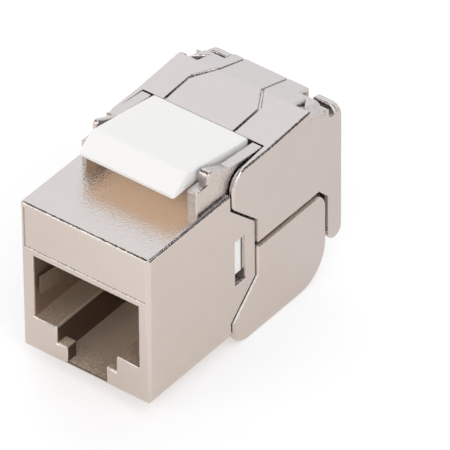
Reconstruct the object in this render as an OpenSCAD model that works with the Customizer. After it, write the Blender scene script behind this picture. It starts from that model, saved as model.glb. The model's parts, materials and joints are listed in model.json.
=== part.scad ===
// Shielded keystone jack with two hinged rear jaws that close on the cable without a tool.
// Millimetres. +X is to the right of someone facing the plug port, +Y runs back along the cable, +Z is up.

/* [Front housing] */
// Width of the front housing, which fits a keystone opening
body_w = 14.7; // [14.2:0.1:14.8]
// Height of the front housing
body_h = 16.6; // [16.3:0.1:17]
// Front face to the rear of the block, where the seam with the jaws is
body_l = 12; // [11.7:0.1:12.3]
// Front face to the rear end of the side tails
tail_l = 15.6; // [15.3:0.1:16]
// Height of the side tails where they leave the block
tail_root_h = 13.1; // [12.6:0.1:13.4]
// Height of the side tails at their rear end
tail_tip_h = 6.4; // [6:0.1:7]
// Thickness of the wall round the plug port
front_wall = 1.4; // [1.2:0.1:1.8]
// Thickness of the roof over the contact carrier
roof_wall = 1.1; // [0.9:0.1:1.3]
// Rounding of the two upright front edges
upright_r = 0.5; // [0.3:0.05:0.7]
// Rounding of the two long lower edges
bottom_r = 0.65; // [0.4:0.05:0.8]
// Rounding of the upper edges
top_r = 0.4; // [0.15:0.05:0.45]
// Depth of the plain panel above the plug port
panel_d = 0.1; // [0.05:0.01:0.15]
// Height of the panel's lower edge above the roof of the port
panel_up = 0.8; // [0.6:0.05:1]
// Front edges of the housing to the panel
panel_in = 0.45; // [0.3:0.05:0.6]
// Width of the fixed hook under the housing, which the jack stands on
hook_w = 10; // [8:0.5:12]
// Length of the flat foot of the hook
hook_foot = 1; // [0.6:0.1:1.6]
// Length of the ramp behind the hook's foot
hook_ramp = 1.3; // [0.8:0.1:2]

/* [Plug port] */
// Width of the plug port
port_w = 11.9; // [11.7:0.1:12.2]
// Height of the plug port
port_h = 6.95; // [6.7:0.05:7.1]
// Height of the port's floor above the bottom of the housing
port_floor = 3.85; // [3.6:0.05:4.1]
// Front face to the back wall of the port
port_depth = 12.4; // [12:0.1:12.6]
// Lead-in bevel round the top and sides of the port
port_bevel = 0.2; // [0.1:0.05:0.3]
// Width of the upper step of the latch notch
notch_w = 6.7; // [6.2:0.1:7]
// Depth of the upper step below the port's floor
notch_drop = 1.8; // [1.5:0.1:2]
// Width of the lower step of the latch notch
catch_w = 4.4; // [4:0.1:5]
// Depth of the lower step below the upper step
catch_drop = 1.65; // [1.3:0.05:1.75]

/* [Side windows] */
// Length of a side window along the jack
window_l = 1.5; // [1.2:0.1:1.8]
// Height of a side window
window_h = 4.85; // [4.2:0.05:5]
// Seam to the front edge of a side window
window_in = 0.65; // [0.5:0.05:0.8]
// Depth of the insert's snap tab below the side face
tab_sink = 0.5; // [0.3:0.05:0.7]
// Height of the snap tab's lower end above the bottom of the window
tab_lift = 0.65; // [0.3:0.05:1]

/* [Latch cheeks] */
// Front face to the front of the cheeks
cheek_y = 7.65; // [7.2:0.05:8]
// Thickness of the lower cheeks, which carry the lower hinge
cheek_t = 1.1; // [0.9:0.05:1.2]
// How much the front of the left cheek is thinned on its outside
cheek_trim = 0.6; // [0:0.05:0.7]
// Height of the front step of a cheek above the housing's top
cheek_step_h = 2.65; // [2.4:0.05:2.9]
// Length of the front step of a cheek
cheek_step_l = 1.65; // [1.3:0.05:1.9]
// Height of the nub on a cheek above the housing's top
nub_h = 3.8; // [3.5:0.05:4]
// Rounding of the nub
nub_r = 0.5; // [0.3:0.05:0.6]
// Height of a cheek where its slope turns, above the housing's top
cheek_turn_h = 2.6; // [2.4:0.05:2.9]
// Height of the rear end of a cheek above the housing's top
cheek_end_h = 2.05; // [1.8:0.05:2.2]

/* [Latch clip] */
// Width of the latch clip
clip_w = 10.7; // [10:0.1:11]
// Thickness of the clip's plate at its root
clip_t = 1.4; // [1.2:0.1:1.6]
// Front face to the clip's front lip
clip_front = 6.2; // [5.8:0.1:6.6]
// Front face to the crest of the clip
clip_crest_y = 8.3; // [8:0.1:8.6]
// Height of the clip's crest above the housing's top
clip_crest_h = 4; // [3.8:0.05:4.1]
// Height of the clip's rear end above the housing's top
clip_rear_h = 2.45; // [2.3:0.05:2.6]
// Gap under the clip's lip, above the housing's top
clip_lift = 2.3; // [2.1:0.05:2.4]
// Height of the lip's front edge
clip_lip_t = 0.3; // [0.2:0.05:0.4]
// Rounding of the clip's rear corners
clip_corner_r = 1.2; // [0.8:0.1:1.5]
// Radius of the clip's root barrel
barrel_r = 0.95; // [0.85:0.05:1]
// Radius of the clip's pins
clip_pin_r = 0.6; // [0.5:0.05:0.65]
// Housing's top up to the clip's pins
clip_pin_h = 1; // [0.95:0.05:1.1]
// Seam hinge back to the clip's pins
clip_pin_back = 1.75; // [1.65:0.05:1.85]

/* [Jaws] */
// How far the jaws stand out past the sides of the housing
jaw_step = 0.2; // [0.15:0.05:0.45]
// Width over the jaws
jaw_w = body_w + 2 * jaw_step;
// Thickness of the jaws' side walls
jaw_wall = 0.63; // [0.6:0.01:0.7]
// Thickness of the upper lid, the lower floor and the lower rear wall
lid_wall = 1; // [0.8:0.05:1.1]
// Height of the parting plane between the jaws
jaw_mid = 8.65; // [8.4:0.05:8.9]
// Gap between the two jaws
jaw_gap = 0.5; // [0.4:0.05:0.8]
// Distance between the two hinge axes
hinge_span = 15.9; // [15.7:0.05:16.1]
// Radius of the round ears about the hinges
ear_r = 2; // [1.9:0.05:2.1]
// Radius of the clear pocket about a hinge, where the lid begins
pocket_r = 3.95; // [3.85:0.05:4.1]
// Length of the level part of the lid behind the hinge
lid_level_l = 3.45; // [3.2:0.05:3.8]
// Front face to the highest line of the lid
crown_y = 23.6; // [23.2:0.1:23.9]
// Rise of the lid up to that line
crown_rise = 0.35; // [0.2:0.05:0.5]
// Fall of the lid's rear slope for each millimetre back
rear_fall = 0.308; // [0.2:0.004:0.4]
// Front face to the rear edge of the lid
lid_back = 27.75; // [27.5:0.05:28]
// Radius of the cable opening between the jaws
cable_r = 4; // [3.5:0.1:4.3]

/* [Locking arms] */
// Front face to the rear of the arms
arm_back = 28.35; // [28.1:0.05:28.8]
// Depth of an arm along the jack
arm_l = 2; // [1.8:0.05:2.2]
// Width of an arm
arm_w = 2.69; // [2.4:0.05:2.9]
// Height of the arms' tips above the bottom of the housing
arm_tip = 2.15; // [1.6:0.05:3]
// Drop of the arms' tops below the lid's rear slope
arm_drop = 0.5; // [0.3:0.05:0.7]
// Rounding of the arms' outer top edge
arm_edge_r = 1.1; // [0.8:0.05:1.4]
// Bevel in the corner between an arm and the side wall
arm_bevel = 1.4; // [1:0.05:1.6]
// Gap between the arms and the lower jaw
arm_gap = 0.3; // [0.2:0.05:0.4]
// Length of the cable-tie groove in front of the arms
tie_l = 1.05; // [0.6:0.05:1.15]
// Height of the groove's bottom above the bottom of the housing
tie_floor = 16.4; // [15.8:0.05:16.6]
// Width of the gap between the lid's tongue and an arm
tongue_gap = 0.46; // [0.3:0.02:0.6]

/* [Lid details] */
// Width of the funnel-shaped groove
groove_w = 0.2; // [0.15:0.05:0.4]
// Depth of the groove
groove_d = 0.25; // [0.15:0.05:0.35]
// Half of the groove's wide front span
groove_wide = 3.97; // [3.6:0.01:4.2]
// Half of the groove's narrow rear span
groove_narrow = 2.47; // [2.2:0.01:2.8]
// Sideways shift of the groove, to the left of the middle
groove_shift = 0.55; // [0:0.05:0.8]
// Front face to where the groove turns in
groove_turn_y = 21.4; // [20.8:0.1:21.8]
// Length of the groove's slanted part
groove_slant_l = 2.5; // [2:0.1:3]
// Width of the shallow corner pockets
pocket_w = 1.3; // [1:0.05:1.5]
// Length of the corner pockets
pocket_l = 1.8; // [1.4:0.05:2]
// Depth of the corner pockets
pocket_d = 0.5; // [0.3:0.05:0.6]
// Highest line of the lid to the facets on its outer corners
facet_in = 0.4; // [0.2:0.05:0.6]
// Length of the facets
facet_l = 2.6; // [2.4:0.05:2.8]
// Height of the facets
facet_h = 1; // [0.7:0.05:1.2]
// Width of the facets
facet_w = 1.2; // [0.8:0.05:1.4]

/* [Lower jaw] */
// Rounding of the lower jaw's heel
lower_heel_r = 3.9; // [3:0.1:4]
// Rounding of the lower jaw's upper rear corner
lower_top_r = 1.7; // [1.3:0.05:2]

/* [Hinges] */
// Radius of the stub pins on the jaws' ears
stub_r = 0.7; // [0.6:0.05:0.75]
// Length of a stub pin inside a cheek
stub_l = 0.9; // [0.7:0.05:1]
// Height of the hinge arms beyond the axis, towards the middle
arm_under = 1.5; // [1.3:0.05:1.6]
// Height of the lower hinge arms beyond the axis, towards the foot
arm_over = 1.75; // [1.5:0.05:1.85]

/* [Contacts and board] */
// Pitch of the port's contacts
contact_pitch = 1.02; // [1:0.01:1.05]
// Width of a port contact
contact_w = 0.4; // [0.3:0.05:0.45]
// Thickness of a port contact
contact_t = 0.35; // [0.25:0.05:0.4]
// Inner radius of a contact's bend
bend_r = 0.35; // [0.25:0.05:0.45]
// Front face to the middle of the bend
bend_y = 3.4; // [3.1:0.1:4]
// Height of a contact's upper leg above the port's roof
contact_rise = 1.65; // [1.5:0.05:1.9]
// Slope of a contact's free leg, in degrees
contact_slope = 25; // [20:1:27]
// Length of a contact's free leg
contact_leg = 8; // [7:0.1:8.5]
// Width of the slots that the contacts lie in
slot_w = 0.6; // [0.55:0.01:0.7]
// Thickness of the insert's back wall
insert_wall = 1.4; // [1.2:0.05:1.5]
// Thickness of the circuit board
board_t = 1.2; // [1:0.1:1.6]
// Thickness of the shield springs
spring_t = 0.2; // [0.15:0.01:0.25]
// Width of the shield springs
spring_w = 1.9; // [1.5:0.1:2.4]
// How far the shield springs bow into the port
spring_bow = 0.5; // [0.3:0.05:0.7]
// Length of a shield spring's foot on the wall
spring_foot = 1.4; // [1:0.1:2]
// Front face to the crest of a shield spring
spring_crest_y = 2.8; // [2.2:0.1:4]
// Front face to the front end of a shield spring
spring_in = 0.6; // [0.4:0.05:1]

/* [Terminals] */
// Width of the terminal block
block_w = 11.2; // [10.9:0.1:11.3]
// Length of the terminal block
block_l = 7.6; // [7.4:0.1:7.8]
// Height of the terminal block
block_h = 7.4; // [7:0.1:7.8]
// Pitch of the terminals across the jack
idc_pitch = 2.8; // [2.7:0.05:2.85]
// Front row of terminals, behind the circuit board
idc_row_y = 4.7; // [4.6:0.05:4.9]
// Distance between the two rows of terminals
idc_row_step = 1.6; // [1.4:0.05:1.7]
// Width of a terminal blade
idc_w = 2.2; // [2:0.05:2.3]
// Thickness of a terminal blade
idc_t = 0.4; // [0.3:0.05:0.5]
// How far the blades stand out of the block
idc_out = 0.85; // [0.6:0.05:0.9]
// Width of the slit in a blade
idc_slit = 0.35; // [0.25:0.05:0.45]
// Depth of the slit in a blade
idc_slit_d = 1.6; // [1.2:0.1:1.8]
// Middle of the block to the foot of a blade
idc_foot = 0.7; // [0.6:0.05:1]
// Width and height of the leg from a blade to the board
idc_leg = 0.6; // [0.5:0.05:0.7]
// Width of the wire caps
cap_w = 11; // [10.8:0.1:11.1]
// Radius of the wire guides in the caps
guide_r = 0.55; // [0.45:0.05:0.6]

/* [Fits] */
// Gap at the seam between the housing and the jaws
seam_gap = 0.15; // [0.1:0.01:0.2]
// Sideways gap between the cheeks and the jaws' ears
ear_gap = 0.07; // [0.05:0.01:0.1]
// Sideways gap between the clip and the cheeks
clip_gap = 0.4; // [0.3:0.05:0.5]
// Radial clearance of the hinge pins
pin_gap = 0.05; // [0.03:0.01:0.08]
// Clearance of pieces that are set into the housing
set_gap = 0.1; // [0.06:0.01:0.14]
// Clearance round the terminals in their block
idc_gap = 0.05; // [0.03:0.01:0.08]
// Gap between a wire cap and the terminal block
cap_gap = 0.15; // [0.1:0.01:0.25]

/* [Hidden] */
$fn = 64;
CONTACTS = 8;
TERMINALS = 8;
PER_SIDE = TERMINALS / 2;
BEND_STEPS = 10;

nickel = "#cbbfb6";
white = "#efefef";
gold = "#d8b25c";
board_green = "#2c6b45";
natural = "#e4e2da";
spring_steel = "#b9b4ae";

// A cut reaches this far past the face that it starts from
over = 0.5;
// Two shapes of one piece run into each other by this much
bite = 0.2;

// Heights in the housing
bay_roof = body_h - roof_wall;
port_roof = port_floor + port_h;
notch_z = port_floor - notch_drop;
catch_z = notch_z - catch_drop;
body_mid = body_h / 2;
cheek_out = jaw_w / 2 - jaw_wall - ear_gap;
cheek_in = clip_w / 2 + clip_gap;
lower_in = cheek_out - cheek_t;

// Hinges
hinge_y = body_l + seam_gap + ear_r;
hinge_hi = jaw_mid + hinge_span / 2;
hinge_lo = jaw_mid - hinge_span / 2;
arm_hi_under = hinge_hi - arm_under;
arm_lo_top = hinge_lo + arm_under;
clip_reach = pocket_r - seam_gap;
cheek_end_y = hinge_y + sqrt(pow(clip_reach, 2) - pow(body_h + cheek_end_h - hinge_hi, 2));
clip_pin_y = hinge_y + clip_pin_back;
clip_pin_z = body_h + clip_pin_h;

// Jaws
lid_z = hinge_hi + ear_r;
floor_z = hinge_lo - ear_r;
crown_z = lid_z + crown_rise;
level_y = hinge_y + lid_level_l;
jaw_hi_edge = jaw_mid + jaw_gap / 2;
jaw_lo_edge = jaw_mid - jaw_gap / 2;
seam_y = tail_l + seam_gap;
seam_turn = seam_gap * tan(atan2(tail_l - body_l, (tail_root_h - tail_tip_h) / 2) / 2);
arm_front = arm_back - arm_l;
arm_in = jaw_w / 2 - arm_w;
lower_back = arm_front - arm_gap;
tongue_half = arm_in - tongue_gap;
function slope_z(y) = crown_z - rear_fall * (y - crown_y);

// Insert, board and terminals
insert_top = min(arm_hi_under, bay_roof) - set_gap;
insert_bottom = arm_lo_top + set_gap;
board_y = port_depth + insert_wall;
block_y = board_y + board_t;
block_half = block_h / 2;
contact_z = port_roof + contact_rise;
cap_y = hinge_y + pocket_r + set_gap;
cap_back = block_y + block_l;
cap_reach = block_half + cap_gap;
cap_dip = idc_out - cap_gap + set_gap;
cap_swing = idc_out + idc_t / 2;
window_y = body_l + window_in;

// The jack stands on its hook and its lower jaw, with its middle over the origin
module place() {
    translate([0, -arm_back / 2, -floor_z]) children();
}

// Outline in Y and Z, drawn out along X from x0 over width w
module along_x(x0, w) {
    translate([x0, 0, 0]) rotate([90, 0, 90]) linear_extrude(w) children();
}

// Outline in X and Z, drawn out along Y from y0 over length l
module along_y(y0, l) {
    translate([0, y0 + l, 0]) rotate([90, 0, 0]) linear_extrude(l) children();
}

// Outline in X and Y, drawn up from z0 over height h
module along_z(z0, h) {
    translate([0, 0, z0]) linear_extrude(h) children();
}

module both_sides() {
    children();
    mirror([1, 0, 0]) children();
}

// Round pin or hole along X
module pin_x(x0, l, y, z, r) {
    translate([x0, y, z]) rotate([0, 90, 0]) cylinder(h = l, r = r);
}

// Box between two corners
module box(a, b) {
    translate(a) cube(b - a);
}

// What a rounding of radius r takes off a corner at p, with the material towards dir
module corner_cut(p, r, dir) {
    translate(p) difference() {
        translate([dir[0] > 0 ? -over : -r, dir[1] > 0 ? -over : -r]) square(r + over);
        translate([dir[0] * r, dir[1] * r]) circle(r);
    }
}

// Front housing

module housing_side() {
    root = tail_root_h / 2;
    tip = tail_tip_h / 2;
    difference() {
        polygon([[0, 0], [body_l, 0], [body_l, body_mid - root], [tail_l, body_mid - tip],
            [tail_l, body_mid + tip], [body_l, body_mid + root], [body_l, body_h], [0, body_h]]);
        corner_cut([0, body_h], top_r, [1, -1]);
        corner_cut([0, 0], top_r, [1, 1]);
    }
}

module housing_front() {
    difference() {
        translate([-body_w / 2, 0]) square([body_w, body_h]);
        for (s = [-1, 1]) {
            corner_cut([s * body_w / 2, 0], bottom_r, [-s, 1]);
            corner_cut([s * body_w / 2, body_h], top_r, [-s, -1]);
        }
    }
}

module housing_plan() {
    difference() {
        translate([-body_w / 2, 0]) square([body_w, tail_l]);
        for (s = [-1, 1]) corner_cut([s * body_w / 2, 0], upright_r, [-s, 1]);
    }
}

module housing_block() {
    intersection() {
        along_x(-body_w / 2, body_w) housing_side();
        along_y(0, tail_l) housing_front();
        along_z(0, body_h) housing_plan();
    }
}

// Cheek beside the clip, which carries on back as the arm of the upper hinge
module cheek_side() {
    nub_y = cheek_y + cheek_step_l;
    nub_z = body_h + nub_h;
    polygon([[cheek_y, arm_hi_under], [cheek_y, body_h + cheek_step_h], [nub_y, body_h + cheek_step_h],
        [nub_y, nub_z - nub_r], [nub_y + nub_r, nub_z], [body_l + over, body_h + cheek_turn_h],
        [cheek_end_y, body_h + cheek_end_h], [cheek_end_y, arm_hi_under]]);
    translate([nub_y + nub_r, nub_z - nub_r]) circle(nub_r);
}

// Arm of the lower hinge
module lower_arm_side() {
    low = hinge_lo - arm_over;
    polygon([[body_l - front_wall, 0], [body_l, 0], [hinge_y - stub_r, low], [cheek_end_y, low],
        [cheek_end_y, arm_lo_top], [body_l - front_wall, arm_lo_top]]);
}

// Tongue that closes the bottom between the lower hinge arms
module tongue_side() {
    low = hinge_lo - arm_over;
    polygon([[body_l - front_wall, 0], [body_l, 0], [hinge_y - stub_r, low], [cheek_end_y, low],
        [cheek_end_y, low + lid_wall], [hinge_y, low + lid_wall], [body_l, lid_wall],
        [body_l - front_wall, lid_wall]]);
}

module hook_side() {
    back = cheek_y + hook_foot;
    polygon([[cheek_y, catch_z], [cheek_y, floor_z], [back, floor_z], [back + hook_ramp, 0],
        [back + hook_ramp, catch_z]]);
}

// Stepped front view of the plug port
module port_front() {
    translate([-port_w / 2, port_floor]) square([port_w, port_h]);
    translate([-notch_w / 2, notch_z]) square([notch_w, port_floor - notch_z + bite]);
    translate([-catch_w / 2, catch_z]) square([catch_w, port_floor - catch_z + bite]);
}

// Bevel round the top and sides of the port
module port_lead_in() {
    half = port_w / 2;
    intersection() {
        along_z(port_floor, port_h + port_bevel + over)
            polygon([[-half - port_bevel - over, -over], [half + port_bevel + over, -over],
                [half, port_bevel], [-half, port_bevel]]);
        along_x(-body_w / 2, body_w)
            polygon([[-over, port_floor], [-over, port_roof + port_bevel + over], [port_bevel, port_roof],
                [port_bevel, port_floor]]);
    }
}

module housing_hollow() {
    half = port_w / 2;
    along_y(-over, front_wall + 2 * over) port_front();
    port_lead_in();
    box([-half, front_wall, port_floor], [half, tail_l + over, bay_roof]);
    box([-notch_w / 2, front_wall, catch_z], [notch_w / 2, port_depth + over, port_floor + bite]);
    box([-half, port_depth, insert_bottom], [half, tail_l + over, bay_roof]);
    both_sides() box([half - bite, window_y, body_mid - window_h / 2],
        [body_w / 2 + over, window_y + window_l, body_mid + window_h / 2]);
    box([panel_in - body_w / 2, -over, port_roof + panel_up],
        [body_w / 2 - panel_in, panel_d, body_h - panel_in]);
}

module front_housing() {
    bore_r = stub_r + pin_gap;
    bore_in = cheek_in - over;
    bore_l = cheek_out - cheek_in + 2 * over;
    color(nickel) place() difference() {
        union() {
            difference() {
                housing_block();
                housing_hollow();
            }
            both_sides() along_x(cheek_in, cheek_out - cheek_in) cheek_side();
            both_sides() along_x(lower_in, cheek_t) lower_arm_side();
            along_x(-lower_in - bite, 2 * (lower_in + bite)) tongue_side();
            along_x(-hook_w / 2, hook_w) hook_side();
        }
        both_sides() {
            pin_x(bore_in, bore_l, hinge_y, hinge_hi, bore_r);
            pin_x(lower_in - over, cheek_t + 2 * over, hinge_y, hinge_lo, bore_r);
            pin_x(bore_in, bore_l, clip_pin_y, clip_pin_z, clip_pin_r + pin_gap);
        }
        box([-cheek_out - over, cheek_y - over, body_h], [-cheek_out + cheek_trim, body_l, 2 * body_h]);
    }
}

// Latch clip

// Height of the clip's straight top at y
clip_rear_y = clip_pin_y + barrel_r;
clip_rise = (clip_crest_h - clip_rear_h) / (clip_rear_y - clip_crest_y);
function clip_top(y) = body_h + clip_rear_h + clip_rise * (clip_rear_y - y);

// Clip in side view: ramp, plate and root barrel, with its rear end round about the hinge
module clip_side() {
    lip_z = body_h + clip_lift;
    root_y = clip_pin_y - 2 * barrel_r;
    far = hinge_y + pocket_r;
    intersection() {
        union() {
            polygon([[clip_front, lip_z], [clip_front, lip_z + clip_lip_t],
                [clip_crest_y, body_h + clip_crest_h], [far, clip_top(far)], [far, clip_pin_z],
                [clip_pin_y, clip_pin_z - barrel_r], [root_y, clip_top(root_y) - clip_t],
                [clip_crest_y + clip_t, lip_z]]);
            translate([clip_pin_y, clip_pin_z]) circle(barrel_r);
        }
        union() {
            translate([clip_front, 0]) square([hinge_y + ear_r - clip_front, 2 * body_h]);
            translate([hinge_y, hinge_hi]) circle(clip_reach);
        }
    }
}

module clip_plan() {
    back = hinge_y + clip_reach;
    difference() {
        translate([-clip_w / 2, 0]) square([clip_w, back]);
        for (s = [-1, 1]) corner_cut([s * clip_w / 2, back], clip_corner_r, [-s, -1]);
    }
}

module latch_clip() {
    pin_end = cheek_out - set_gap;
    color(white) place() {
        intersection() {
            along_x(-clip_w / 2, clip_w) clip_side();
            along_z(0, 2 * body_h) clip_plan();
        }
        pin_x(-pin_end, 2 * pin_end, clip_pin_y, clip_pin_z, clip_pin_r);
    }
}

// Upper jaw

module upper_side() {
    tip_z = body_mid + tail_tip_h / 2 + seam_turn;
    root_z = body_mid + tail_root_h / 2 + seam_turn;
    tip_r = arm_l / 2;
    front_y = hinge_y - ear_r;
    polygon([[front_y, root_z], [front_y, hinge_hi], [hinge_y, lid_z], [level_y, lid_z], [crown_y, crown_z],
        [arm_back, slope_z(arm_back)], [arm_back, arm_tip + tip_r], [arm_front, arm_tip + tip_r],
        [arm_front, jaw_hi_edge - arm_bevel], [arm_front - arm_bevel, jaw_hi_edge], [seam_y, jaw_hi_edge],
        [seam_y, tip_z]]);
    translate([hinge_y, hinge_hi]) circle(ear_r);
    translate([arm_front + tip_r, arm_tip + tip_r]) circle(tip_r);
}

module lid_side() {
    difference() {
        polygon([[hinge_y, lid_z - lid_wall], [hinge_y, lid_z], [level_y, lid_z], [crown_y, crown_z],
            [lid_back, slope_z(lid_back)], [lid_back, slope_z(lid_back) - lid_wall],
            [crown_y, crown_z - lid_wall], [level_y, lid_z - lid_wall]]);
        translate([hinge_y, hinge_hi]) circle(pocket_r);
    }
}

// Rear wall of the upper jaw with its half of the cable opening
module upper_rear_wall() {
    half = jaw_w / 2 - jaw_wall / 2;
    top = slope_z(lid_back) - lid_wall / 2;
    along_y(arm_front, lid_back - arm_front) difference() {
        translate([-half, jaw_hi_edge]) square([2 * half, top - jaw_hi_edge]);
        translate([0, jaw_mid]) circle(cable_r);
    }
}

module locking_arm() {
    intersection() {
        along_z(0, 2 * body_h) translate([arm_in, arm_front]) square([arm_w, arm_l]);
        along_x(0, jaw_w) upper_side();
    }
}

// One line of the funnel-shaped groove, as a ribbon in plan
module groove_plan(s) {
    wide = s * groove_wide - groove_shift;
    narrow = s * groove_narrow - groove_shift;
    turn_in = groove_turn_y + groove_slant_l;
    line = [[wide, hinge_y], [wide, groove_turn_y], [narrow, turn_in], [narrow, arm_back]];
    polygon(concat(
        [for (p = line) p - [groove_w / 2, 0]],
        [for (i = [len(line) - 1:-1:0]) line[i] + [groove_w / 2, 0]]));
}

module groove_depth() {
    polygon([[hinge_y, lid_z - groove_d], [level_y, lid_z - groove_d], [crown_y, crown_z - groove_d],
        [arm_back, slope_z(arm_back) - groove_d], [arm_back, crown_z + over], [hinge_y, crown_z + over]]);
}

module lid_grooves() {
    intersection() {
        along_z(lid_z - lid_wall, 2 * lid_wall + crown_rise) for (s = [-1, 1]) groove_plan(s);
        along_x(-jaw_w / 2, jaw_w) groove_depth();
    }
}

// Frame on the lid's rear slope, with its origin on the highest line
module on_slope() {
    translate([0, crown_y, crown_z]) rotate([-atan(rear_fall), 0, 0]) children();
}

// Tie groove, tongue gap, pocket and facet at one rear corner of the lid, and the lower top of the arm
module lid_corner_cuts() {
    side = jaw_w / 2;
    top = crown_z + over;
    pocket_out = side - jaw_wall;
    pocket_in = pocket_out - pocket_w;
    tie_back = arm_front + tie_l;
    box([tongue_half, arm_front, tie_floor], [side + over, tie_back, top]);
    box([tongue_half, arm_front, tie_floor], [arm_in, arm_back + over, top]);
    on_slope() {
        along_z(-pocket_d, pocket_d + over)
            polygon([[pocket_in, 0], [pocket_out, 0], [pocket_in, pocket_l]]);
        along_y(facet_in, facet_l)
            polygon([[side + over, -facet_h], [side, -facet_h], [side - facet_w, 0], [side - facet_w, over],
                [side + over, over]]);
        translate([0, 0, -arm_drop]) along_y(tie_back - tie_l / 2 - crown_y, arm_l + over) {
            translate([arm_in - bite, 0]) square([arm_w + bite + over, arm_drop + over]);
            corner_cut([side, 0], arm_edge_r, [-1, -1]);
        }
    }
}

module upper_jaw() {
    wall_in = jaw_w / 2 - jaw_wall;
    stub_in = cheek_out - stub_l;
    color(nickel) place() difference() {
        union() {
            both_sides() {
                along_x(wall_in, jaw_wall) upper_side();
                locking_arm();
                pin_x(stub_in, wall_in - stub_in + bite, hinge_y, hinge_hi, stub_r);
            }
            along_x(-wall_in - bite, 2 * (wall_in + bite)) lid_side();
            upper_rear_wall();
        }
        lid_grooves();
        both_sides() lid_corner_cuts();
    }
}

// Lower jaw

module lower_side() {
    tip_z = body_mid - tail_tip_h / 2 - seam_turn;
    root_z = body_mid - tail_root_h / 2 - seam_turn;
    front_y = hinge_y - ear_r;
    heel_y = lower_back - lower_heel_r;
    heel_z = floor_z + lower_heel_r;
    knee_y = lower_back - lower_top_r;
    knee_z = jaw_lo_edge - lower_top_r;
    polygon([[front_y, root_z], [front_y, hinge_lo], [hinge_y, floor_z], [heel_y, floor_z],
        [lower_back, heel_z], [lower_back, knee_z], [knee_y, jaw_lo_edge], [seam_y, jaw_lo_edge],
        [seam_y, tip_z]]);
    translate([hinge_y, hinge_lo]) circle(ear_r);
    translate([heel_y, heel_z]) circle(lower_heel_r);
    translate([knee_y, knee_z]) circle(lower_top_r);
}

// Floor and rear wall of the lower jaw in side view
module lower_tub() {
    inner_r = lower_heel_r - lid_wall;
    heel_y = lower_back - lower_heel_r;
    heel_z = floor_z + lower_heel_r;
    inner_back = lower_back - lid_wall;
    difference() {
        lower_side();
        polygon([[0, floor_z + lid_wall], [heel_y, floor_z + lid_wall], [inner_back, heel_z],
            [inner_back, jaw_mid], [0, jaw_mid]]);
        translate([heel_y, heel_z]) circle(inner_r);
        translate([hinge_y, hinge_lo]) circle(pocket_r);
    }
}

module lower_jaw() {
    wall_in = jaw_w / 2 - jaw_wall;
    stub_in = cheek_out - stub_l;
    color(nickel) place() difference() {
        union() {
            both_sides() {
                along_x(wall_in, jaw_wall) lower_side();
                pin_x(stub_in, wall_in - stub_in + bite, hinge_y, hinge_lo, stub_r);
            }
            along_x(-wall_in - bite, 2 * (wall_in + bite)) lower_tub();
        }
        translate([0, lower_back + over, jaw_mid]) rotate([90, 0, 0])
            cylinder(h = lid_wall + 2 * over, r = cable_r);
    }
}

// Contact insert, board and port contacts

function contact_x(i) = (i - (CONTACTS + 1) / 2) * contact_pitch;

module contact_insert() {
    half = port_w / 2;
    slot_top = contact_z + contact_t + set_gap;
    tab_lo = body_mid - window_h / 2 + tab_lift;
    tab_hi = body_mid + window_h / 2 - set_gap;
    tab_out = body_w / 2 - tab_sink;
    color(white) place() difference() {
        union() {
            box([-half, front_wall, port_roof], [half, port_depth + bite, insert_top]);
            box([-half, port_depth, insert_bottom], [half, board_y, insert_top]);
            both_sides() {
                box([half - bite, window_y + set_gap, tab_lo], [tab_out, board_y - set_gap, tab_hi]);
                box([half, window_y + set_gap, tab_lo], [tab_out, window_y + window_l - set_gap, tab_hi]);
            }
        }
        for (i = [1:CONTACTS]) {
            x = contact_x(i);
            box([x - slot_w / 2, bend_y - bend_r - contact_t - set_gap, port_roof - over],
                [x + slot_w / 2, port_depth, slot_top]);
            box([x - slot_w / 2, port_depth - bite, contact_z - set_gap],
                [x + slot_w / 2, board_y + over, slot_top]);
        }
    }
}

module circuit_board() {
    half = port_w / 2 - set_gap;
    color(board_green) place()
        box([-half, board_y, insert_bottom + set_gap], [half, block_y, insert_top - set_gap]);
}

// Spring contact in side view: upper leg, bend, and the free leg that slopes down into the port
module contact_side() {
    mid = [bend_y, contact_z - bend_r];
    turn = 270 - contact_slope;
    outer = [for (k = [0:BEND_STEPS]) mid + (bend_r + contact_t) * bend_ray(k, turn)];
    inner = [for (k = [BEND_STEPS:-1:0]) mid + bend_r * bend_ray(k, turn)];
    free_leg = contact_leg * [cos(contact_slope), -sin(contact_slope)];
    polygon(concat([[board_y, contact_z + contact_t]], outer, [outer[BEND_STEPS] + free_leg],
        [inner[0] + free_leg], inner, [[board_y, contact_z]]));
}

// Direction from the middle of the bend at step k, from straight up round to the angle turn
function bend_ray(k, turn) = let (a = 90 + k * (turn - 90) / BEND_STEPS) [cos(a), sin(a)];

module port_contact(i) {
    color(gold) place() along_x(contact_x(i) - contact_w / 2, contact_w) contact_side();
}

// Shield spring on the right wall of the port in plan: foot at the back, bow, and a lifted front end
module spring_plan() {
    wall = port_w / 2 - spring_t;
    back = port_depth - set_gap;
    line = [[wall, back], [wall, back - spring_foot], [wall - spring_bow, spring_crest_y],
        [wall - spring_t, spring_in]];
    polygon(concat(line, [for (i = [len(line) - 1:-1:0]) line[i] + [spring_t, 0]]));
}

module shield_spring() {
    mid = port_floor + port_h / 2;
    along_z(mid - spring_w / 2, spring_w) spring_plan();
}

module right_shield_spring() {
    color(spring_steel) place() shield_spring();
}

module left_shield_spring() {
    color(spring_steel) place() mirror([1, 0, 0]) shield_spring();
}

// Terminals

function idc_x(i) = ((i - 1) % PER_SIDE - (PER_SIDE - 1) / 2) * idc_pitch;
function idc_y(i) = block_y + idc_row_y + ((i - 1) % 2) * idc_row_step;

// Turns what is drawn above the middle of the block to the side of terminal i
module on_side(i) {
    translate([0, 0, jaw_mid]) mirror([0, 0, i > PER_SIDE ? 1 : 0]) children();
}

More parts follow.
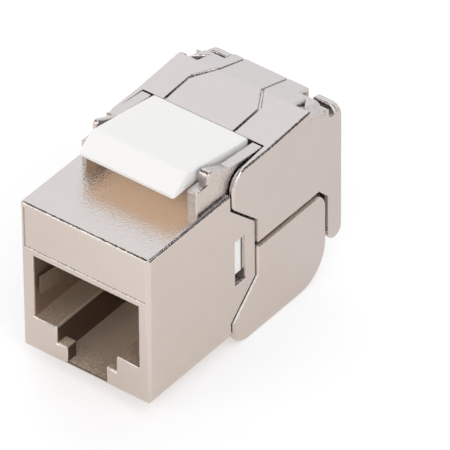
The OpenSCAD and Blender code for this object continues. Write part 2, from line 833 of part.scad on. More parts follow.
// Blade and leg of terminal i, above the middle of the block and grown by a clearance
module idc_blank(i, gap) {
    x = idc_x(i);
    y = idc_y(i);
    box([x - idc_w / 2 - gap, y - idc_t / 2 - gap, idc_foot - gap],
        [x + idc_w / 2 + gap, y + idc_t / 2 + gap, block_half + idc_out + gap]);
    box([x - idc_leg / 2 - gap, block_y, idc_foot - gap],
        [x + idc_leg / 2 + gap, y, idc_foot + idc_leg + gap]);
}

module idc_contact(i) {
    x = idc_x(i);
    y = idc_y(i);
    tip = block_half + idc_out;
    color(gold) place() on_side(i) difference() {
        idc_blank(i, 0);
        box([x - idc_slit / 2, y - idc_t, tip - idc_slit_d], [x + idc_slit / 2, y + idc_t, tip + over]);
    }
}

module terminal_block() {
    color(natural) place() difference() {
        box([-block_w / 2, block_y, jaw_mid - block_half],
            [block_w / 2, block_y + block_l, jaw_mid + block_half]);
        for (i = [1:TERMINALS]) on_side(i) idc_blank(i, idc_gap);
    }
}

// Room in a wire cap for the terminals and the wires, for terminals first to last
module cap_room(first) {
    for (i = [first:first + PER_SIDE - 1]) on_side(i) {
        x = idc_x(i);
        y = idc_y(i);
        half = idc_w / 2 + set_gap;
        box([x - half, y - cap_swing, cap_reach - over], [x + half, y + idc_t, cap_reach + cap_dip]);
        translate([x, cap_back + over, cap_reach + guide_r / 2]) rotate([90, 0, 0])
            cylinder(h = cap_back - cap_y + 2 * over, r = guide_r);
    }
}

module upper_wire_cap() {
    lean = crown_rise / (crown_y - level_y);
    under = lid_z - lid_wall;
    color(natural) place() difference() {
        along_x(-cap_w / 2, cap_w)
            polygon([[cap_y, jaw_mid + cap_reach], [cap_back, jaw_mid + cap_reach],
                [cap_back, under + lean * (cap_back - level_y)], [cap_y, under + lean * (cap_y - level_y)]]);
        cap_room(1);
    }
}

module lower_wire_cap() {
    color(natural) place() difference() {
        box([-cap_w / 2, cap_y, floor_z + lid_wall], [cap_w / 2, cap_back, jaw_mid - cap_reach]);
        cap_room(PER_SIDE + 1);
    }
}

front_housing();
latch_clip();
upper_jaw();
lower_jaw();
contact_insert();
circuit_board();
terminal_block();
upper_wire_cap();
lower_wire_cap();
left_shield_spring();
right_shield_spring();
for (i = [1:CONTACTS]) port_contact(i);
for (i = [1:TERMINALS]) idc_contact(i);
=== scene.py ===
# %% [markdown]
# # A shielded keystone jack
# A small network socket for a wall plate: a nickel-plated zinc casting with a plug port, a white latch clip on
# top, and two cast jaws at the back that close on the cable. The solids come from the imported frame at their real
# size. This lesson softens their edges as a casting's are, gives each one its finish, and lights it as a
# catalogue does.

# %% Load the frame
import itertools
import json
import math

import bmesh
import bpy
import numpy as np
from mathutils import Matrix, Vector

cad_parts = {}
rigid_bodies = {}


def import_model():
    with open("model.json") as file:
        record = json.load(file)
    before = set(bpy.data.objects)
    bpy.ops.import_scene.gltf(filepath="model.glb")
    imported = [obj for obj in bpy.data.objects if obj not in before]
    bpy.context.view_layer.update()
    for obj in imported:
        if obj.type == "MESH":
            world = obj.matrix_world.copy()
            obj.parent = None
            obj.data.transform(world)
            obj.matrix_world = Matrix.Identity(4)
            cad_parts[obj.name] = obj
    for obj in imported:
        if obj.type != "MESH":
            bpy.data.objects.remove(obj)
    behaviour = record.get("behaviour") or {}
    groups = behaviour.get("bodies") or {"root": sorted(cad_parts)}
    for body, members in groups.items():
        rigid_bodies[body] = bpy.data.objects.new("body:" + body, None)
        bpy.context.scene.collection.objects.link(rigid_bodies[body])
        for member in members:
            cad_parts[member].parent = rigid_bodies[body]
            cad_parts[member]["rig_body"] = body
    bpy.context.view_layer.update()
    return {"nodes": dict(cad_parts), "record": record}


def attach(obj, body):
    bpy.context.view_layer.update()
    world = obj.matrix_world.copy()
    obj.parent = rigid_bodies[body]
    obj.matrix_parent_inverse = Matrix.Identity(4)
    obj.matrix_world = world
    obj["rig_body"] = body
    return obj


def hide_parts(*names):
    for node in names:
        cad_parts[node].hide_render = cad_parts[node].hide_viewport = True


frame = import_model()
MM = 0.001

# %% [markdown]
# ## Camera
# The picture was taken from high on the right with a long lens, so parallel edges stay almost parallel. A camera
# could be placed by eye, but its angles were worked out from the straight edges of the housing, which is 14.7 mm
# wide.

# %% Camera
AZIMUTH, ELEVATION, ROLL = (math.radians(a) for a in (37.794, 38.666, -0.47))
EYE = Vector((343.681, -436.726, 454.248)) * MM
FOCAL_PX, FRAME_PX, SENSOR_MM = 7830.99, 450, 36

ahead = Vector((-math.sin(AZIMUTH) * math.cos(ELEVATION),
                math.cos(AZIMUTH) * math.cos(ELEVATION),
                -math.sin(ELEVATION)))
level = Vector((math.cos(AZIMUTH), math.sin(AZIMUTH), 0))
upward = level.cross(ahead)
right = math.cos(ROLL) * level + math.sin(ROLL) * upward
upright = -math.sin(ROLL) * level + math.cos(ROLL) * upward

lens = bpy.data.cameras.new("long_lens")
lens.sensor_width = SENSOR_MM
lens.lens = FOCAL_PX / FRAME_PX * SENSOR_MM
lens.clip_start, lens.clip_end = 0.05, 20
camera = bpy.data.objects.new("camera", lens)
camera.matrix_world = Matrix((right, upright, -ahead)).transposed().to_4x4()
camera.location = EYE
bpy.context.scene.collection.objects.link(camera)
bpy.context.scene.camera = camera
print("lens", round(lens.lens, 1), "mm")

# %% [markdown]
# ## Colours and shader nodes
# Colours are written as they look on screen, in sRGB hex, and shaders work in linear light, so one function turns
# one into the other. One more function adds a shader node with its settings and links, which keeps each finish
# short. Patterns read object coordinates, which are in metres, so their sizes can be given in millimetres.

# %% Colour and node helpers
def linear(hex_colour):
    """sRGB to linear: c / 12.92 up to 0.04045, and ((c + 0.055) / 1.055) to the power 2.4 above."""
    c = np.array([int(hex_colour[i:i + 2], 16) for i in (1, 3, 5)]) / 255
    return (*np.where(c <= 0.04045, c / 12.92, ((c + 0.055) / 1.055) ** 2.4).tolist(), 1.0)


def add(tree, kind, values=None, links=None, **settings):
    """Adds one shader node: settings are its own options, values go on its sockets, and links feed its sockets
    from the output that is given, or from the first output of a node."""
    made = tree.nodes.new("ShaderNode" + kind)
    for name, value in settings.items():
        setattr(made, name, value)
    for socket, value in (values or {}).items():
        made.inputs[socket].default_value = value
    for socket, source in (links or {}).items():
        output = source.outputs[0] if isinstance(source, bpy.types.Node) else source
        tree.links.new(output, made.inputs[socket])
    return made


def per_mm(size_mm):
    """Scale of a noise with patches of this size: one over the size in metres."""
    return 1 / (size_mm * MM)


def new_finish(name):
    """A material with an empty tree, and the object coordinates in it."""
    finish = bpy.data.materials.new(name)
    finish.use_nodes = True
    tree = finish.node_tree
    tree.nodes.clear()
    return finish, tree, add(tree, "TexCoord").outputs["Object"]


def looking(tree):
    """The way that a face looks: its normal, split into three numbers."""
    return add(tree, "SeparateXYZ", {}, {0: add(tree, "NewGeometry").outputs["Normal"]})


print("middle grey in linear light", round(linear("#808080")[0], 3))

# %% [markdown]
# ## Nickel plate on a zinc casting
# The housing and the jaws are die-cast zinc, tumbled and then plated with satin nickel. The plate is a warm grey
# metal. Tumbling leaves a fine grain that breaks up the borders of reflections into sparkle, and the casting is
# never quite flat, so reflections swim a little. In a deep recess the plating current is weak, so the port's inside
# stays dull and rough. Thin plate on a rough casting also mirrors less, so the port's floors, the rim between the
# jaws and the walls of the seams are less metallic, and near the mouth the floors are gritty. These places also take
# browner tones, which are partly the colour of dull plate and partly painted shade and light: below the port's
# ledges the walls are painted darker and the floors lighter.

# %% Where the plate is dull, and where its tones paint shade and light
PORT_BOX = ((-6.0, -14.04, 1.55), (6.0, -2.0, 12.35))
SEAM_BOX = ((7.1, -8.0, 5.2), (7.6, 14.0, 15.6))
JAW_RIM, RIM_HALF = 9.6, 0.4
LOOKS_UP = {"From Min": 0.4, "From Max": 0.8}
LOOKS_TO_FRONT = {"From Min": -0.72, "From Max": -0.85}


def in_box(tree, sides, box):
    """Mask that is 1 where three coordinates lie between the low and the high corner of a box in mm: one Compare
    a side, with the middle and half the width of the box, all multiplied."""
    mask = None
    for side, low, high in zip(sides, *box):
        within = add(tree, "Math", {1: (low + high) / 2 * MM, 2: (high - low) / 2 * MM}, {0: side},
                     operation="COMPARE")
        if mask is None:
            mask = within
        else:
            mask = add(tree, "Math", {}, {0: mask, 1: within}, operation="MULTIPLY")
    return mask


def plate_masks(tree, at):
    """Masks of the port's inside, of the ledges there and on the jaws' rim, which look up, and of all dull plate
    with painted tones, which is those ledges and the walls of the seams."""
    facing = looking(tree)
    recess = in_box(tree, at.outputs, PORT_BOX)
    rim = add(tree, "Math", {1: JAW_RIM * MM, 2: RIM_HALF * MM}, {0: at.outputs["Z"]}, operation="COMPARE")
    hidden = add(tree, "Math", {}, {0: recess, 1: rim}, operation="MAXIMUM")
    ledge = add(tree, "MapRange", LOOKS_UP, {"Value": facing.outputs["Z"], "To Max": hidden})
    beside = add(tree, "Math", {}, {0: at.outputs["X"]}, operation="ABSOLUTE")
    seam = in_box(tree, (beside, at.outputs["Y"], at.outputs["Z"]), SEAM_BOX)
    wall = add(tree, "MapRange", LOOKS_TO_FRONT, {"Value": facing.outputs["Y"], "To Max": seam})
    dull_and_painted_tone = add(tree, "Math", {}, {0: wall, 1: ledge}, operation="MAXIMUM")
    return recess, ledge, dull_and_painted_tone


print("boxes in mm: port", PORT_BOX, "seams on both sides", SEAM_BOX)

# %% Satin nickel
# The grain of a tumbled casting is finer than 0.2 mm: it is drawn as coarse as it needs to show.
GRAIN_MM, GRAIN_DEPTH_MM = 0.2, 0.046
SWIM_MM, SWIM_DEPTH_MM = 2.2, 0.012
CLOUD_MM = 3.5
UNDER_LEDGES = {"From Min": 5.2 * MM, "From Max": 5.0 * MM}
NEAR_MOUTH = {"From Min": -9 * MM, "From Max": -13.8 * MM, "To Max": 0.8}
GRIT = {"From Min": 0.35, "From Max": 0.65, "To Min": 0.7, "To Max": 1.3}
SATIN = {"From Min": 0.3, "From Max": 0.7, "To Min": 0.07, "To Max": 0.11}
DULL = 0.4
THIN_METAL = 0.35


def plate_tone(tree, at, masks, grain, cloud):
    """Colour of the plate: two close tones in clouds outside, and inside the tones of walls and gritty floors, each
    with one tone above the port's ledges and one below, where painted shade makes the walls darker and painted light
    makes the floors lighter."""
    recess, ledge, dull_and_painted_tone = masks
    # Painted shade and light: below the port's ledges the walls are painted darker and the floors lighter.
    painted_below_ledges = add(tree, "MapRange", UNDER_LEDGES, {"Value": at.outputs["Z"]})
    plating = add(tree, "MixRGB", {"Color1": linear("#c6c0be"), "Color2": linear("#cac5c4")}, {"Fac": cloud})
    wall = add(tree, "MixRGB", {"Color1": linear("#c8b8aa"), "Color2": linear("#7c6c60")}, {"Fac": painted_below_ledges})
    floor = add(tree, "MixRGB", {"Color1": linear("#ad9b8c"), "Color2": linear("#d9c6b4")}, {"Fac": painted_below_ledges})
    grit = add(tree, "MapRange", GRIT, {"Value": grain})
    mouth = add(tree, "MapRange", NEAR_MOUTH, {"Value": at.outputs["Y"]})
    gritty = add(tree, "MixRGB", {}, {"Fac": mouth, "Color1": floor, "Color2": grit}, blend_type="MULTIPLY")
    inside = add(tree, "MixRGB", {}, {"Fac": ledge, "Color1": wall, "Color2": gritty})
    # The inside tones, partly dull plate and partly painted shade and light, take the place of the plate in the
    # port, on the jaws' rim and on the seam walls.
    shaded = add(tree, "Math", {}, {0: recess, 1: dull_and_painted_tone}, operation="MAXIMUM")
    return add(tree, "MixRGB", {}, {"Fac": shaded, "Color1": plating, "Color2": inside})


def make_satin_nickel():
    """Satin plate: clouds vary its gloss, and two bumps, the swim and the grain on it, break up reflections."""
    finish, tree, place = new_finish("satin_nickel_on_zinc_casting")
    at = add(tree, "SeparateXYZ", {}, {0: place})
    masks = plate_masks(tree, at)
    recess, _, dull_and_painted_tone = masks
    grain = add(tree, "TexNoise", {"Scale": per_mm(GRAIN_MM), "Detail": 2.0, "Roughness": 0.5}, {"Vector": place})
    swim = add(tree, "TexNoise", {"Scale": per_mm(SWIM_MM), "Detail": 1.0}, {"Vector": place})
    cloud = add(tree, "TexNoise", {"Scale": per_mm(CLOUD_MM), "Detail": 4.0, "Roughness": 0.6}, {"Vector": place})
    tone = plate_tone(tree, at, masks, grain, cloud)
    satin = add(tree, "MapRange", SATIN, {"Value": cloud})
    rough = add(tree, "MapRange", {"To Max": DULL}, {"Value": recess, "To Min": satin})
    metal = add(tree, "MapRange", {"To Min": 1.0, "To Max": THIN_METAL}, {"Value": dull_and_painted_tone})
    wave = add(tree, "Bump", {"Strength": 1.0, "Distance": SWIM_DEPTH_MM * MM}, {"Height": swim})
    pitted = add(tree, "Bump", {"Strength": 1.0, "Distance": GRAIN_DEPTH_MM * MM}, {"Height": grain, "Normal": wave})
    plate = add(tree, "BsdfPrincipled", {},
                {"Base Color": tone, "Metallic": metal, "Roughness": rough, "Normal": pitted})
    add(tree, "OutputMaterial", {}, {"Surface": plate})
    return finish


satin_nickel = make_satin_nickel()
print("finish", satin_nickel.name)

# %% [markdown]
# ## Moulded plastics
# The latch clip is white moulded nylon from a spark-eroded tool, so it has a very fine even texture and a soft
# gloss. Its underside towards the front is given a painted warm glow, as if light came through the thin nylon, and
# the plate below mirrors that painted glow. The wire guides and the terminal block are natural, slightly creamy
# plastic. All of them scatter a little light inside.

# %% Plastics
# A spark-eroded texture is finer than the grit here: it is drawn as coarse as it needs to show.
TONE_MM, GRIT_DEPTH_MM, SCATTER_MM = 4, 0.0025, 0.4
GLOSS_SPREAD = 0.05
PAINTED_GLOW_TOWARDS_FRONT = {"From Min": -1 * MM, "From Max": -4 * MM}
PAINTED_GLOW_LOOKS_DOWN = {"From Min": -0.3, "From Max": -0.9}


def make_plastic(name, light, dark, grit_mm, roughness, scatter, glow=None):
    """Moulded plastic: two close tones in soft clouds, the grit of the tool's texture, and a painted glow, if any,
    on the faces that look down towards the front."""
    finish, tree, place = new_finish(name)
    cloud = add(tree, "TexNoise", {"Scale": per_mm(TONE_MM), "Detail": 3.0}, {"Vector": place})
    grit = add(tree, "TexNoise", {"Scale": per_mm(grit_mm), "Detail": 2.0}, {"Vector": place})
    tone = add(tree, "MixRGB", {"Color1": linear(light), "Color2": linear(dark)}, {"Fac": cloud})
    rough = add(tree, "MapRange", {"To Min": roughness - GLOSS_SPREAD, "To Max": roughness + GLOSS_SPREAD},
                {"Value": grit})
    bump = add(tree, "Bump", {"Strength": 1.0, "Distance": GRIT_DEPTH_MM * MM}, {"Height": grit})
    body = add(tree, "BsdfPrincipled",
               {"IOR": 1.53, "Specular IOR Level": 0.3, "Subsurface Weight": scatter,
                "Subsurface Radius": (1.0, 0.8, 0.6), "Subsurface Scale": SCATTER_MM * MM},
               {"Base Color": tone, "Roughness": rough, "Normal": bump})
    # Painted light: an emission in the glow colour on the faces that look down, stronger towards the front.
    if glow:
        at = add(tree, "SeparateXYZ", {}, {0: place})
        front = add(tree, "MapRange", PAINTED_GLOW_TOWARDS_FRONT, {"Value": at.outputs["Y"]})
        under = add(tree, "MapRange", PAINTED_GLOW_LOOKS_DOWN, {"Value": looking(tree).outputs["Z"], "To Max": front})
        body.inputs["Emission Color"].default_value = linear(glow)
        tree.links.new(under.outputs["Result"], body.inputs["Emission Strength"])
    add(tree, "OutputMaterial", {}, {"Surface": body})
    return finish


# The clip's warm glow, #c9a986, is painted light on its underside, which the plate below mirrors.
clip_nylon_painted_glow = make_plastic("white_moulded_nylon", "#f6f6f5", "#f2f2f1", 0.12, 0.6, 0.15, glow="#c9a986")
white_nylon = make_plastic("white_moulded_nylon_core", "#f4f4f3", "#efefee", 0.12, 0.42, 0.15)
cream_plastic = make_plastic("natural_moulded_polycarbonate", "#e6e3da", "#dedacf", 0.15, 0.38, 0.2)
print("finishes", clip_nylon_painted_glow.name, white_nylon.name, cream_plastic.name)

# %% [markdown]
# ## Contacts, springs and board
# The port's contacts and the terminals are phosphor bronze under a thin gold plate, rolled strip with faint lines
# along it. The shield springs are bright steel strip. Both are sheared to length, so their front ends are dull. The
# board is woven glass under green solder mask, and the weave shows as a faint relief.

# %% Rolled strip
LINE_MM, LINE_DEPTH_MM, STRETCH = 0.06, 0.002, 40
CUT_END = {"From Min": -0.6, "From Max": -0.9}


def make_strip(name, light, dark, roughness, sheared):
    """Rolled metal strip: fine lines, from noise stretched along Y, and a duller tone on the end in front."""
    finish, tree, place = new_finish(name)
    along = add(tree, "Mapping", {"Scale": (1, 1 / STRETCH, 1)}, {"Vector": place})
    lines = add(tree, "TexNoise", {"Scale": per_mm(LINE_MM), "Detail": 2.0}, {"Vector": along})
    tone = add(tree, "MixRGB", {"Color1": linear(light), "Color2": linear(dark)}, {"Fac": lines})
    end = add(tree, "MapRange", CUT_END, {"Value": looking(tree).outputs["Y"]})
    cut = add(tree, "MixRGB", {"Color2": linear(sheared)}, {"Fac": end, "Color1": tone})
    bump = add(tree, "Bump", {"Strength": 1.0, "Distance": LINE_DEPTH_MM * MM}, {"Height": lines})
    strip = add(tree, "BsdfPrincipled", {"Metallic": 1.0, "Roughness": roughness},
                {"Base Color": cut, "Normal": bump})
    add(tree, "OutputMaterial", {}, {"Surface": strip})
    return finish


gold_plate = make_strip("gold_plate_on_bronze_strip", "#dcb765", "#cfa752", 0.22, "#b98a4a")
spring_strip = make_strip("bright_rolled_spring_steel", "#d2c3b6", "#bcab9d", 0.45, "#6e6056")
print("finishes", gold_plate.name, spring_strip.name)

# %% Board
WEAVE_MM, WEAVE_DEPTH_MM = 0.5, 0.01
BANDS_A_UNIT = 20 / math.tau


def make_board():
    """Solder mask over woven glass: two crossed waves, multiplied, as the weave's tone and relief. A Wave node has
    20 / tau bands in a unit at scale 1."""
    finish, tree, place = new_finish("solder_mask_on_glass_board")
    threads = {"Scale": per_mm(WEAVE_MM) / BANDS_A_UNIT, "Distortion": 0.4}
    weft = add(tree, "TexWave", threads, {"Vector": place}, bands_direction="X")
    warp = add(tree, "TexWave", threads, {"Vector": place}, bands_direction="Z")
    weave = add(tree, "Math", {}, {0: weft.outputs["Fac"], 1: warp.outputs["Fac"]}, operation="MULTIPLY")
    tone = add(tree, "MixRGB", {"Color1": linear("#22603c"), "Color2": linear("#2f7549")}, {"Fac": weave})
    bump = add(tree, "Bump", {"Strength": 0.5, "Distance": WEAVE_DEPTH_MM * MM}, {"Height": weave})
    mask = add(tree, "BsdfPrincipled", {"Roughness": 0.3, "IOR": 1.5}, {"Base Color": tone, "Normal": bump})
    add(tree, "OutputMaterial", {}, {"Surface": mask})
    return finish


board_mask = make_board()
print("finish", board_mask.name)

# %% [markdown]
# ## Softened castings
# A die casting has no sharp edges: each one carries a small radius, and the radius is what catches the light. The
# frame's solids come as loose triangles with sharp edges. A copy is merged and its flat triangles are joined into
# whole faces. Then each outer edge gets a bevel weight, which is lower where a neighbouring edge leaves little
# room, so that two radii never run into each other, and which stays the same along a line that runs on smoothly. A
# Bevel modifier rounds by those weights. One width for all edges would be simpler, but it would fold over itself
# where edges are close together.

# %% Merged solids and the room beside an edge
MERGE = 0.002 * MM
FLAT = math.radians(0.4)
MOST_LENGTHS = 4
ASIDE, FORKED = 0.7, 0.4


def merged(node):
    """Shell of a node's solid: its points merged, slivers taken out, and flat triangles joined into faces."""
    shell = bmesh.new()
    shell.from_mesh(frame["nodes"][node].data)
    bmesh.ops.remove_doubles(shell, verts=shell.verts, dist=MERGE)
    bmesh.ops.dissolve_degenerate(shell, edges=shell.edges, dist=MERGE)
    bmesh.ops.dissolve_limit(shell, angle_limit=FLAT, verts=shell.verts, edges=shell.edges)
    return shell


def room_beside(edge):
    """Width in which a bevel of this edge can grow: the nearest edge that lies to its side on one of its faces.
    An edge lies to its side where the sine of the angle to it is above a limit."""
    along = (edge.verts[1].co - edge.verts[0].co).normalized()
    middle = (edge.verts[0].co + edge.verts[1].co) / 2
    room = [edge.calc_length() * MOST_LENGTHS]
    for face in edge.link_faces:
        for other in face.edges:
            if other is edge:
                continue
            a, b = (v.co for v in other.verts)
            share = (middle - a).dot(b - a) / max((b - a).length_squared, 1e-18)
            nearest = a.lerp(b, min(max(share, 0), 1))
            reaches = [(nearest - middle, ASIDE)]
            reaches += [(other.other_vert(v).co - v.co, FORKED) for v in other.verts if v in edge.verts]
            for reach, least in reaches:
                sideways = along.cross(reach).length
                if sideways > least * reach.length:
                    room.append(sideways)
    return min(room)


clip_shell = merged("latch_clip")
print("clip edges", len(clip_shell.edges), "least room in mm",
      round(min(room_beside(edge) for edge in clip_shell.edges) / MM, 2))
clip_shell.free()

# %% [markdown]
# ## Radii by zone
# Some edges are rounder than the rest on the real casting, such as the steps in the port's mouth and the rims of
# the jaws. A zone, which is a box in millimetres with a radius, marks them. A round profile gives a soft highlight,
# and a profile below one half gives flatter edges, near to chamfers, that show as one clear line.

# %% Edges rounded by weight
SHARP = math.radians(28)
RUNS_ON = math.radians(25)
SHARE_OF_ROOM, SHARE_IN_ZONE, LEAST_SHARE = 0.3, 0.8, 0.4
ROUND = 0.5


def even_out(shell, radius):
    """Gives edges that run on into each other at a vertex the smaller radius of the two, until none differ."""
    settled = False
    while not settled:
        settled = True
        for vert in shell.verts:
            meeting = [edge for edge in vert.link_edges if edge in radius]
            for first, second in itertools.combinations(meeting, 2):
                one = first.other_vert(vert).co - vert.co
                two = vert.co - second.other_vert(vert).co
                if one.angle(two) < RUNS_ON and radius[first] != radius[second]:
                    radius[first] = radius[second] = min(radius[first], radius[second])
                    settled = False


def lies_in(edge, zone):
    """True where both ends of an edge are between the two corners of a zone."""
    low, high, _ = zone
    return all(low[i] < v.co[i] / MM < high[i] for v in edge.verts for i in range(3))


def edge_radii(shell, radius_mm, zones):
    """Radius of each outer edge that has room for one: what is wanted, or at most a share of the room beside the
    edge, which is larger in a zone."""
    radius = {}
    for edge in shell.edges:
        zone_radii = [zone[2] for zone in zones if lies_in(edge, zone)]
        wanted = max(zone_radii + [radius_mm]) * MM
        fits = min(wanted, (SHARE_IN_ZONE if zone_radii else SHARE_OF_ROOM) * room_beside(edge))
        if edge.calc_face_angle(0) > SHARP and edge.is_convex and fits > LEAST_SHARE * radius_mm * MM:
            radius[edge] = fits
    even_out(shell, radius)
    return radius


def rounded(shell, radius_mm, zones, profile):
    """Mesh of a shell with its outer edges rounded by weight, which is each radius over the widest one."""
    widest = max([radius_mm] + [zone[2] for zone in zones]) * MM
    weight = shell.edges.layers.float.new("bevel_weight_edge")
    for edge, radius in edge_radii(shell, radius_mm, zones).items():
        edge[weight] = radius / widest
    plain = bpy.data.meshes.new("plain")
    shell.to_mesh(plain)
    carrier = bpy.data.objects.new("carrier", plain)
    bpy.context.scene.collection.objects.link(carrier)
    rounding = carrier.modifiers.new("edge_radius", "BEVEL")
    rounding.width = widest
    rounding.segments = 4
    rounding.profile = profile
    rounding.limit_method = "WEIGHT"
    rounding.use_clamp_overlap = False
    rounding.loop_slide = False
    rounding.miter_outer = "MITER_ARC"
    mesh = bpy.data.meshes.new_from_object(carrier.evaluated_get(bpy.context.evaluated_depsgraph_get()))
    bpy.data.objects.remove(carrier)
    bpy.data.meshes.remove(plain)
    return mesh


print("edges are rounded above", round(math.degrees(SHARP)), "degrees")

# %% [markdown]
# ## Copies that stand for the solids
# Each copy is shaded smooth over its radii and kept crisp where flat faces meet, and normals weighted by area keep
# the flat faces flat in reflections. It rides on its solid's body and stands for it.

# %% Softened copies of the solids
STEEP, SLIGHT = math.radians(35), math.radians(12)
WIDE = 0.3 * MM
EDGE_MM, CLIP_EDGE_MM = 0.1, 0.3
HOUSING_ZONES = {
    "steps in the mouth": ((-6.3, -14.3, 1.6), (6.3, -14.1, 5.2), 0.2),
    "ledges in the port": ((-3.4, -14.3, 5.1), (3.4, -1.7, 5.2), 0.2),
    "ledge of the panel": ((-7, -14.3, 12.8), (7, -14.1, 13), 0.08),
}
UPPER_JAW_ZONES = {
    "top": ((-9, -9, 16.1), (9, 16, 22), 0.28),
}
LOWER_JAW_ZONES = {
    "rim": ((-9, -9, 9), (9, 16, 11), 0.25),
    "left side": ((-7.65, -9, -1), (-7.45, 16, 9.8), 0.22),
    "right side": ((7.45, -9, -1), (7.65, 16, 9.8), 0.22),
}
HOUSING_PROFILE, LOWER_JAW_PROFILE = 0.3, 0.35


def crease(mesh):
    """Shades the mesh smooth, apart from steep edges and from lesser ones between two wide flat faces."""
    shell = bmesh.new()
    shell.from_mesh(mesh)
    for face in shell.faces:
        face.smooth = True
    for edge in shell.edges:
        turn = edge.calc_face_angle(0)
        wide = all(f.calc_area() > WIDE * max(e.calc_length() for e in f.edges) for f in edge.link_faces)
        edge.smooth = not (turn > STEEP or (wide and turn > SLIGHT))
    shell.to_mesh(mesh)
    shell.free()


def softened(node, finish, radius_mm, zones=None, profile=ROUND):
    """Merged copy of a node with rounded edges, which stands for it and rides on its body."""
    shell = merged(node)
    mesh = rounded(shell, radius_mm, list((zones or {}).values()), profile)
    shell.free()
    crease(mesh)
    mesh.name = "soft_" + node
    mesh.materials.clear()
    mesh.materials.append(finish)
    piece = bpy.data.objects.new("soft_" + node, mesh)
    bpy.context.scene.collection.objects.link(piece)
    flattening = piece.modifiers.new("flat_faces_stay_flat", "WEIGHTED_NORMAL")
    flattening.mode = "FACE_AREA"
    flattening.weight = 100
    flattening.keep_sharp = True
    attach(piece, frame["nodes"][node]["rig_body"])
    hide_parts(node)
    return piece


castings = [
    softened("front_housing", satin_nickel, EDGE_MM, HOUSING_ZONES, HOUSING_PROFILE),
    softened("upper_jaw", satin_nickel, EDGE_MM, UPPER_JAW_ZONES),
    softened("lower_jaw", satin_nickel, EDGE_MM, LOWER_JAW_ZONES, LOWER_JAW_PROFILE),
]
clip = softened("latch_clip", clip_nylon_painted_glow, CLIP_EDGE_MM)
print("softened", [piece.name for piece in castings], clip.name)

# %% [markdown]
# ## Finishes of the inner pieces
# The pieces inside keep their own solids, because their shape is right as it is. Each one takes its finish.

# %% Inner pieces
FINISH_OF_SLOT = {
    "white_plastic": white_nylon,
    "natural_plastic": cream_plastic,
    "gold_plated_contact": gold_plate,
    "spring_steel": spring_strip,
    "circuit_board": board_mask,
    "nickel_plated_zinc": satin_nickel,
}
for entry in frame["record"]["subparts"]:
    solid = frame["nodes"][entry["node"]]
    solid.data.materials.clear()
    solid.data.materials.append(FINISH_OF_SLOT[entry["material_slot"]])

# %% [markdown]
# ## Stage and light
# A catalogue shot of bright metal is mostly a picture of what the metal mirrors: a white sheet under it, soft boxes
# and papers around it, and the dark room between them. The flat faces mirror the sheet and the big box behind, and
# the small edge radii run through the dark part, which draws the thin dark lines along them. A box beside the
# camera lights the white clip, one at the front left draws bright lines on the chamfers, and low papers keep the
# sides calm. In mirrors the sheet is warm, brighter in front and dimmer behind. Lamps could do this too, but a
# world that holds the room by direction keeps each box where the metal needs it. The camera itself sees plain white.

# %% Sheet
SHEET_FRONT = Vector((0.614, -0.79, 0))
FADE_IN_FRONT = {"From Min": 14 * MM, "From Max": 22 * MM}
FADE_BEHIND = {"From Min": 6 * MM, "From Max": -6 * MM}
GLOW_SEEN = (1.5, 1.5, 1.52, 1)
GLOW_MIDDLE, GLOW_BEHIND, GLOW_IN_FRONT = (1.55, 1.3, 1.06, 1), (1.32, 1.12, 0.97, 1), (2.1, 1.86, 1.62, 1)
GLOW_SHARE = 0.3
SHEET_HALF, SHEET_LEVEL = 3.0, -0.01 * MM


def make_paper():
    """White paper that glows from below, as on a light table, so that shadows stay pale."""
    finish, tree, place = new_finish("white_paper_on_light_table")
    paper = add(tree, "BsdfDiffuse", {"Color": linear("#f4f4f4")})
    forward = add(tree, "VectorMath", {1: SHEET_FRONT}, {0: place}, operation="DOT_PRODUCT").outputs["Value"]
    front = add(tree, "MapRange", FADE_IN_FRONT, {"Value": forward})
    behind = add(tree, "MapRange", FADE_BEHIND, {"Value": forward})
    dim = add(tree, "MixRGB", {"Color1": GLOW_MIDDLE, "Color2": GLOW_BEHIND}, {"Fac": behind})
    warm = add(tree, "MixRGB", {"Color2": GLOW_IN_FRONT}, {"Fac": front, "Color1": dim})
    # Painted reflection: only rays mirrored by the metal see the sheet warm, brighter in front and dimmer behind,
    # while the camera and diffuse light see it evenly.
    mirrored = add(tree, "LightPath").outputs["Is Glossy Ray"]
    tint = add(tree, "MixRGB", {"Color1": GLOW_SEEN}, {"Fac": mirrored, "Color2": warm})
    table = add(tree, "Emission", {"Strength": 1.0}, {"Color": tint})
    both = add(tree, "MixShader", {"Fac": GLOW_SHARE}, {1: paper, 2: table})
    add(tree, "OutputMaterial", {}, {"Surface": both})
    return finish


def make_sheet():
    """Square of paper just under the level that the jack stands on."""
    signs = ((-1, -1), (1, -1), (1, 1), (-1, 1))
    mesh = bpy.data.meshes.new("sheet")
    mesh.from_pydata([(x * SHEET_HALF, y * SHEET_HALF, SHEET_LEVEL) for x, y in signs], [], [(0, 1, 2, 3)])
    mesh.materials.append(make_paper())
    sheet = bpy.data.objects.new("sheet", mesh)
    bpy.context.scene.collection.objects.link(sheet)
    return sheet


sheet = make_sheet()
print("stage", sheet.name)

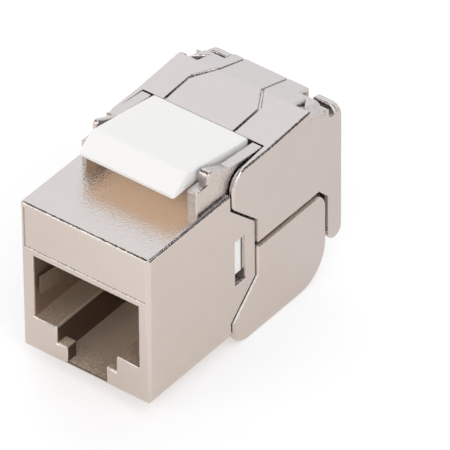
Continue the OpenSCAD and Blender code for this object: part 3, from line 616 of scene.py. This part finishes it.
# %% Room
# Each box has a name, the direction of its middle, its half angle and the blur of its border in degrees, and its
# light. A later one lies over those before it.
DARK_WALL = (0.11, 0.10, 0.095, 1)
PLAIN_WHITE = (1, 1, 1, 1)
SOFT_BOXES = [
    ("paper low on the right", (0.97, -0.14, 0.0), 26, 12, (0.95, 0.92, 0.9, 1)),
    ("paper low on the left", (-0.97, -0.14, 0.0), 26, 12, (0.95, 0.92, 0.9, 1)),
    ("paper low in front on the right", (0.6, -0.8, 0.0), 24, 12, (0.9, 0.88, 0.86, 1)),
    ("paper low in front on the left", (-0.66, -0.75, -0.06), 24, 12, (0.9, 0.88, 0.86, 1)),
    ("big box behind", (-0.484, 0.70, 0.525), 36, 5, (1.2, 1.2, 1.2, 1)),
    ("paper behind", (-0.49, 0.87, 0.05), 20, 10, (1.05, 1.09, 1.12, 1)),
    ("paper behind on the right", (0.33, 0.94, 0.12), 22, 8, (1.1, 1.1, 1.1, 1)),
    ("small box by the camera", (0.48, -0.617, 0.624), 26, 8, (1.29, 1.3, 1.32, 1)),
    ("small box front left", (-0.47, -0.71, 0.52), 19, 4, (1.85, 1.74, 1.62, 1)),
    ("small box on the left", (-0.93, 0.0, 0.36), 18, 6, (1.6, 1.6, 1.6, 1)),
    ("small box on the right", (0.85, -0.2, 0.45), 20, 6, (1.7, 1.7, 1.7, 1)),
    ("small box high on the right", (0.55, -0.05, 0.83), 18, 5, (2.3, 2.3, 2.3, 1)),
    ("paper overhead", (0.02, 0.12, 0.99), 20, 7, (1.05, 1.05, 1.06, 1)),
    ("paper in front", (0.0, -0.97, 0.22), 20, 8, (0.85, 0.84, 0.83, 1)),
]


def make_room():
    """Light by direction: a dark wall, and each soft box where the direction lies within its half angle, which is
    where its dot product with the box's middle is above the cosine of that angle."""
    room = bpy.data.worlds.new("studio")
    room.use_nodes = True
    tree = room.node_tree
    tree.nodes.clear()
    toward = add(tree, "TexCoord").outputs["Generated"]
    shade = add(tree, "RGB")
    shade.outputs["Color"].default_value = DARK_WALL
    for name, middle, half_angle, blur, light in SOFT_BOXES:
        cosine = add(tree, "VectorMath", {1: Vector(middle).normalized()}, {0: toward}, operation="DOT_PRODUCT")
        border = {"From Min": math.cos(math.radians(half_angle + blur)),
                  "From Max": math.cos(math.radians(half_angle - blur))}
        inside = add(tree, "MapRange", border, {"Value": cosine.outputs["Value"]},
                     interpolation_type="SMOOTHSTEP", label=name)
        shade = add(tree, "MixRGB", {"Color2": light}, {"Fac": inside, "Color1": shade})
    seen = add(tree, "LightPath").outputs["Is Camera Ray"]
    shown = add(tree, "MixRGB", {"Color2": PLAIN_WHITE}, {"Fac": seen, "Color1": shade})
    glow = add(tree, "Background", {"Strength": 1.0}, {"Color": shown})
    add(tree, "OutputWorld", {}, {"Surface": glow})
    bpy.context.scene.world = room
    return room


room = make_room()
bpy.context.scene.view_settings.view_transform = "Standard"
print("room", room.name, "with", len(SOFT_BOXES), "boxes and papers")
